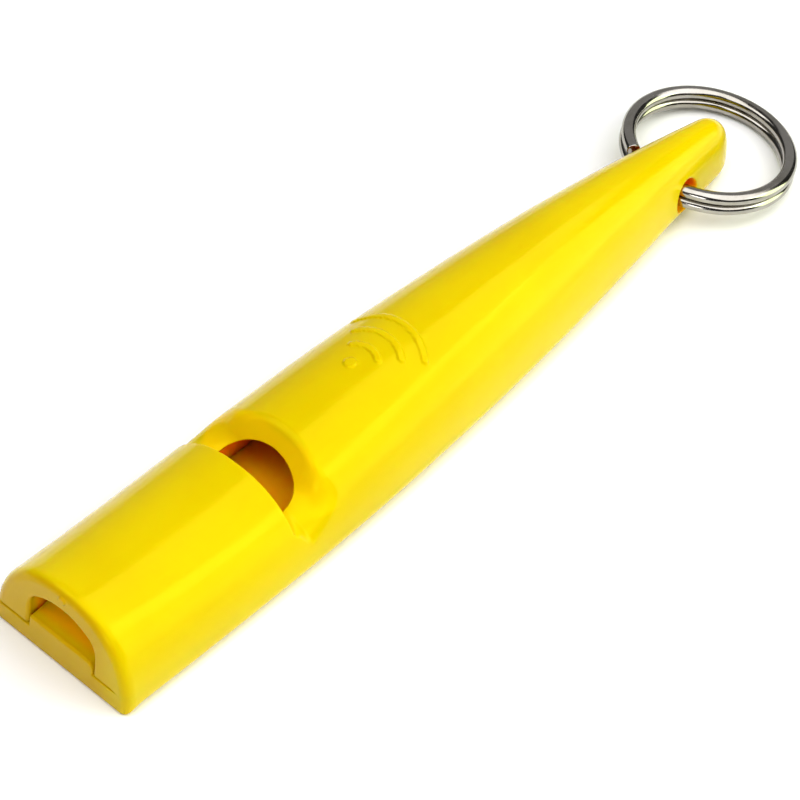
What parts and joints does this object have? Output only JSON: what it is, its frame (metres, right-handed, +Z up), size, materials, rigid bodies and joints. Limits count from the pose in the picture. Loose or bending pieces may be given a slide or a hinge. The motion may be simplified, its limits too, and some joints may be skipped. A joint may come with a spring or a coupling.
{
  "type": "pealess training whistle",
  "caption": "Pealess training whistle: domed yellow body with a mouthpiece slot, a windway block, a half-moon sounding window and a tail hole that carries a swinging split ring.",
  "frame": {"origin": "on the flat underside, half way along the body's length and on its middle line", "axes": "+X from the mouthpiece towards the tail, +Z up out of the flat underside, +Y to the left of someone looking along +X"},
  "size_m": [0.089, 0.016, 0.0093],
  "materials": {
    "yellow_plastic": "glossy moulded ABS, bright yellow",
    "nickel_steel": "bright nickel-plated spring steel"
  },
  "bodies": {
    "whistle_body": {"body_shell": "yellow_plastic", "base_plate": "yellow_plastic"},
    "ring": {"split_ring": "nickel_steel"}
  },
  "joints": [
    {"name": "ring_swing", "type": "hinge", "parent": "whistle_body", "child": "ring", "pos_m": [0.0328, 0, 0.00305], "axis": [0, -1, 0], "range_deg": [-152, 158]}
  ]
}
